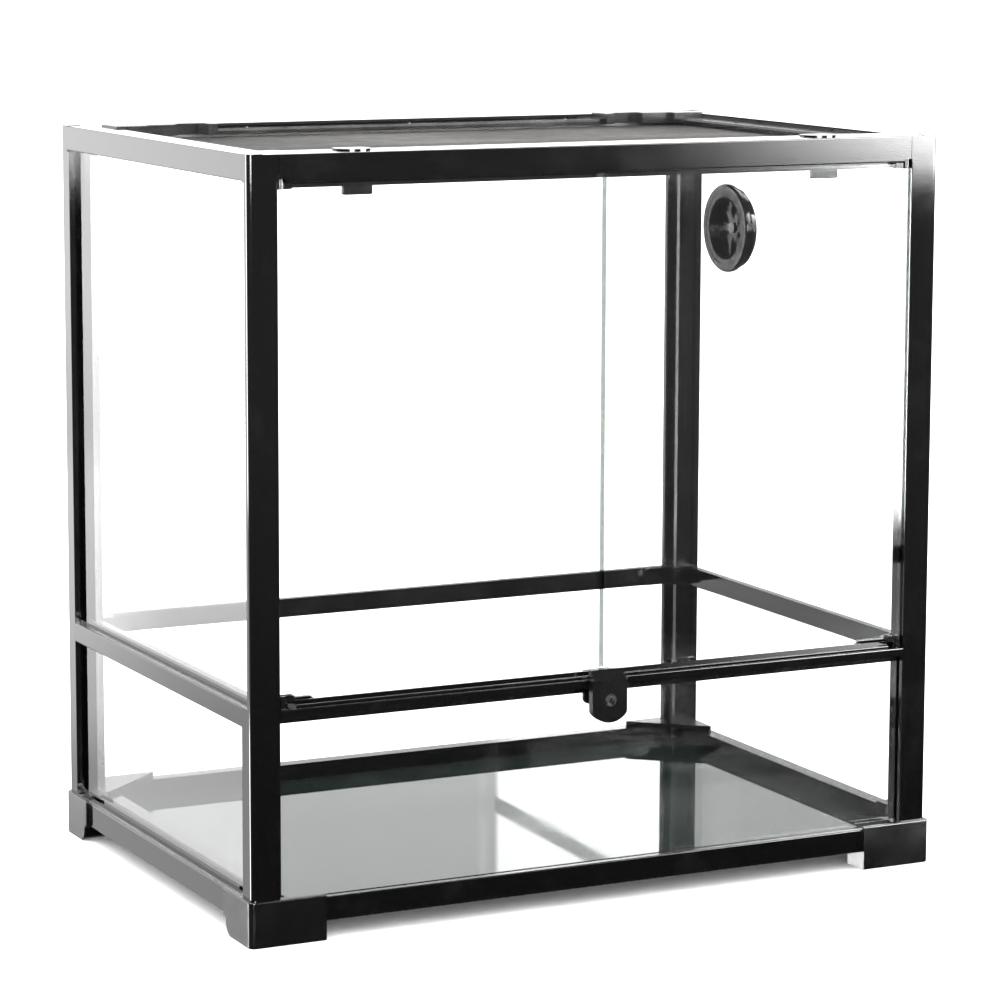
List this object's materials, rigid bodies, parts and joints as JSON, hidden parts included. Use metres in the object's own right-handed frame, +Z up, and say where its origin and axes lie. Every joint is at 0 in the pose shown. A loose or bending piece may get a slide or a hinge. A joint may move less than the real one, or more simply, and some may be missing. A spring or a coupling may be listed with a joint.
{
  "type": "glass terrarium cage",
  "caption": "Knock-down glass cage for small animals: black clip-together frame, hinged front doors with key lock, side ventilator, lift-off mesh screen.",
  "frame": {"origin": "middle of the base, on the surface that the feet stand on", "axes": "+Z up, the doors and lock face -Y, the ventilator is on the +X side"},
  "size_m": [0.606, 0.4136, 0.6015],
  "materials": {
    "frame_plastic": "satin moulded black",
    "foot_plastic": "satin moulded black",
    "fitting_plastic": "gloss moulded black",
    "screen_frame": "matte black",
    "mesh_steel": "fine woven dark steel",
    "spline_rubber": "matte rubber",
    "glass": "clear float glass",
    "base_glass": "clear float glass, thicker",
    "lock_case": "gloss moulded black",
    "lock_metal": "plated"
  },
  "bodies": {
    "cage": {"base_glass": "base_glass", "bottom_rail_back": "frame_plastic", "bottom_rail_front": "frame_plastic", "bottom_rail_left": "frame_plastic", "bottom_rail_right": "frame_plastic", "door_sill": "frame_plastic", "foot_back_left": "foot_plastic", "foot_back_right": "foot_plastic", "foot_front_left": "foot_plastic", "foot_front_right": "foot_plastic", "lock_back_plate": "fitting_plastic", "lock_body": "lock_case", "lock_screws": "lock_metal", "lower_glass_back": "glass", "lower_glass_front": "glass", "lower_glass_left": "glass", "lower_glass_right": "glass", "lower_post_back_left": "frame_plastic", "lower_post_back_right": "frame_plastic", "lower_post_front_left": "frame_plastic", "lower_post_front_right": "frame_plastic", "mid_connectors": "frame_plastic", "mid_rail_back": "frame_plastic", "mid_rail_front": "frame_plastic", "mid_rail_left": "frame_plastic", "mid_rail_right": "frame_plastic", "screen_lock_bases": "fitting_plastic", "top_corner_back_left": "frame_plastic", "top_corner_back_right": "frame_plastic", "top_corner_front_left": "frame_plastic", "top_corner_front_right": "frame_plastic", "top_rail_back": "frame_plastic", "top_rail_front": "frame_plastic", "top_rail_left": "frame_plastic", "top_rail_right": "frame_plastic", "upper_glass_back": "glass", "upper_glass_left": "glass", "upper_glass_right": "glass", "upper_post_back_left": "frame_plastic", "upper_post_back_right": "frame_plastic", "upper_post_front_left": "frame_plastic", "upper_post_front_right": "frame_plastic", "vent_body": "fitting_plastic", "vent_ring": "fitting_plastic", "vent_rivet": "lock_metal"},
    "door_left": {"door_glass_left": "glass", "door_hinges_left": "fitting_plastic"},
    "door_right": {"door_glass_right": "glass", "door_hinges_right": "fitting_plastic"},
    "lock_cylinder": {"lock_cylinder": "lock_metal"},
    "latch": {"latch": "lock_metal"},
    "screen": {"screen_front_rail": "screen_frame", "screen_back_rail": "screen_frame", "screen_side_rails": "screen_frame", "screen_corners": "screen_frame", "screen_mesh": "mesh_steel", "screen_spline": "spline_rubber"},
    "screen_lock_left": {"screen_lock_left": "fitting_plastic"},
    "screen_lock_right": {"screen_lock_right": "fitting_plastic"},
    "vent_shutter": {"vent_shutter": "fitting_plastic"}
  },
  "joints": [
    {"name": "door_left_hinge", "type": "hinge", "parent": "cage", "child": "door_left", "pos_m": [-0.2725, -0.1955, 0.19], "axis": [0, 0, -1], "range_deg": [0, 110]},
    {"name": "door_right_hinge", "type": "hinge", "parent": "cage", "child": "door_right", "pos_m": [0.2725, -0.1955, 0.19], "axis": [0, 0, 1], "range_deg": [0, 110]},
    {"name": "lock_turn", "type": "hinge", "parent": "cage", "child": "lock_cylinder", "pos_m": [0, -0.21, 0.166], "axis": [0, -1, 0], "range_deg": [0, 90]},
    {"name": "latch_slide", "type": "slide", "parent": "cage", "child": "latch", "axis": [0, 0, 1], "range_m": [0, 0.004]},
    {"name": "screen_lift", "type": "slide", "parent": "cage", "child": "screen", "axis": [0, 0, 1], "range_m": [0, 0.08]},
    {"name": "screen_lock_left_turn", "type": "hinge", "parent": "cage", "child": "screen_lock_left", "pos_m": [-0.204, -0.172, 0.597], "axis": [0, 0, 1], "range_deg": [0, 180]},
    {"name": "screen_lock_right_turn", "type": "hinge", "parent": "cage", "child": "screen_lock_right", "pos_m": [0.204, -0.172, 0.597], "axis": [0, 0, 1], "range_deg": [0, 180]},
    {"name": "vent_shutter_turn", "type": "hinge", "parent": "cage", "child": "vent_shutter", "pos_m": [0.2965, 0.119, 0.5], "axis": [1, 0, 0], "range_deg": [0, 30]}
  ],
  "couplings": [
    {"joint": "lock_turn", "follows": "latch_slide", "rad_per_m": 392.69}
  ]
}
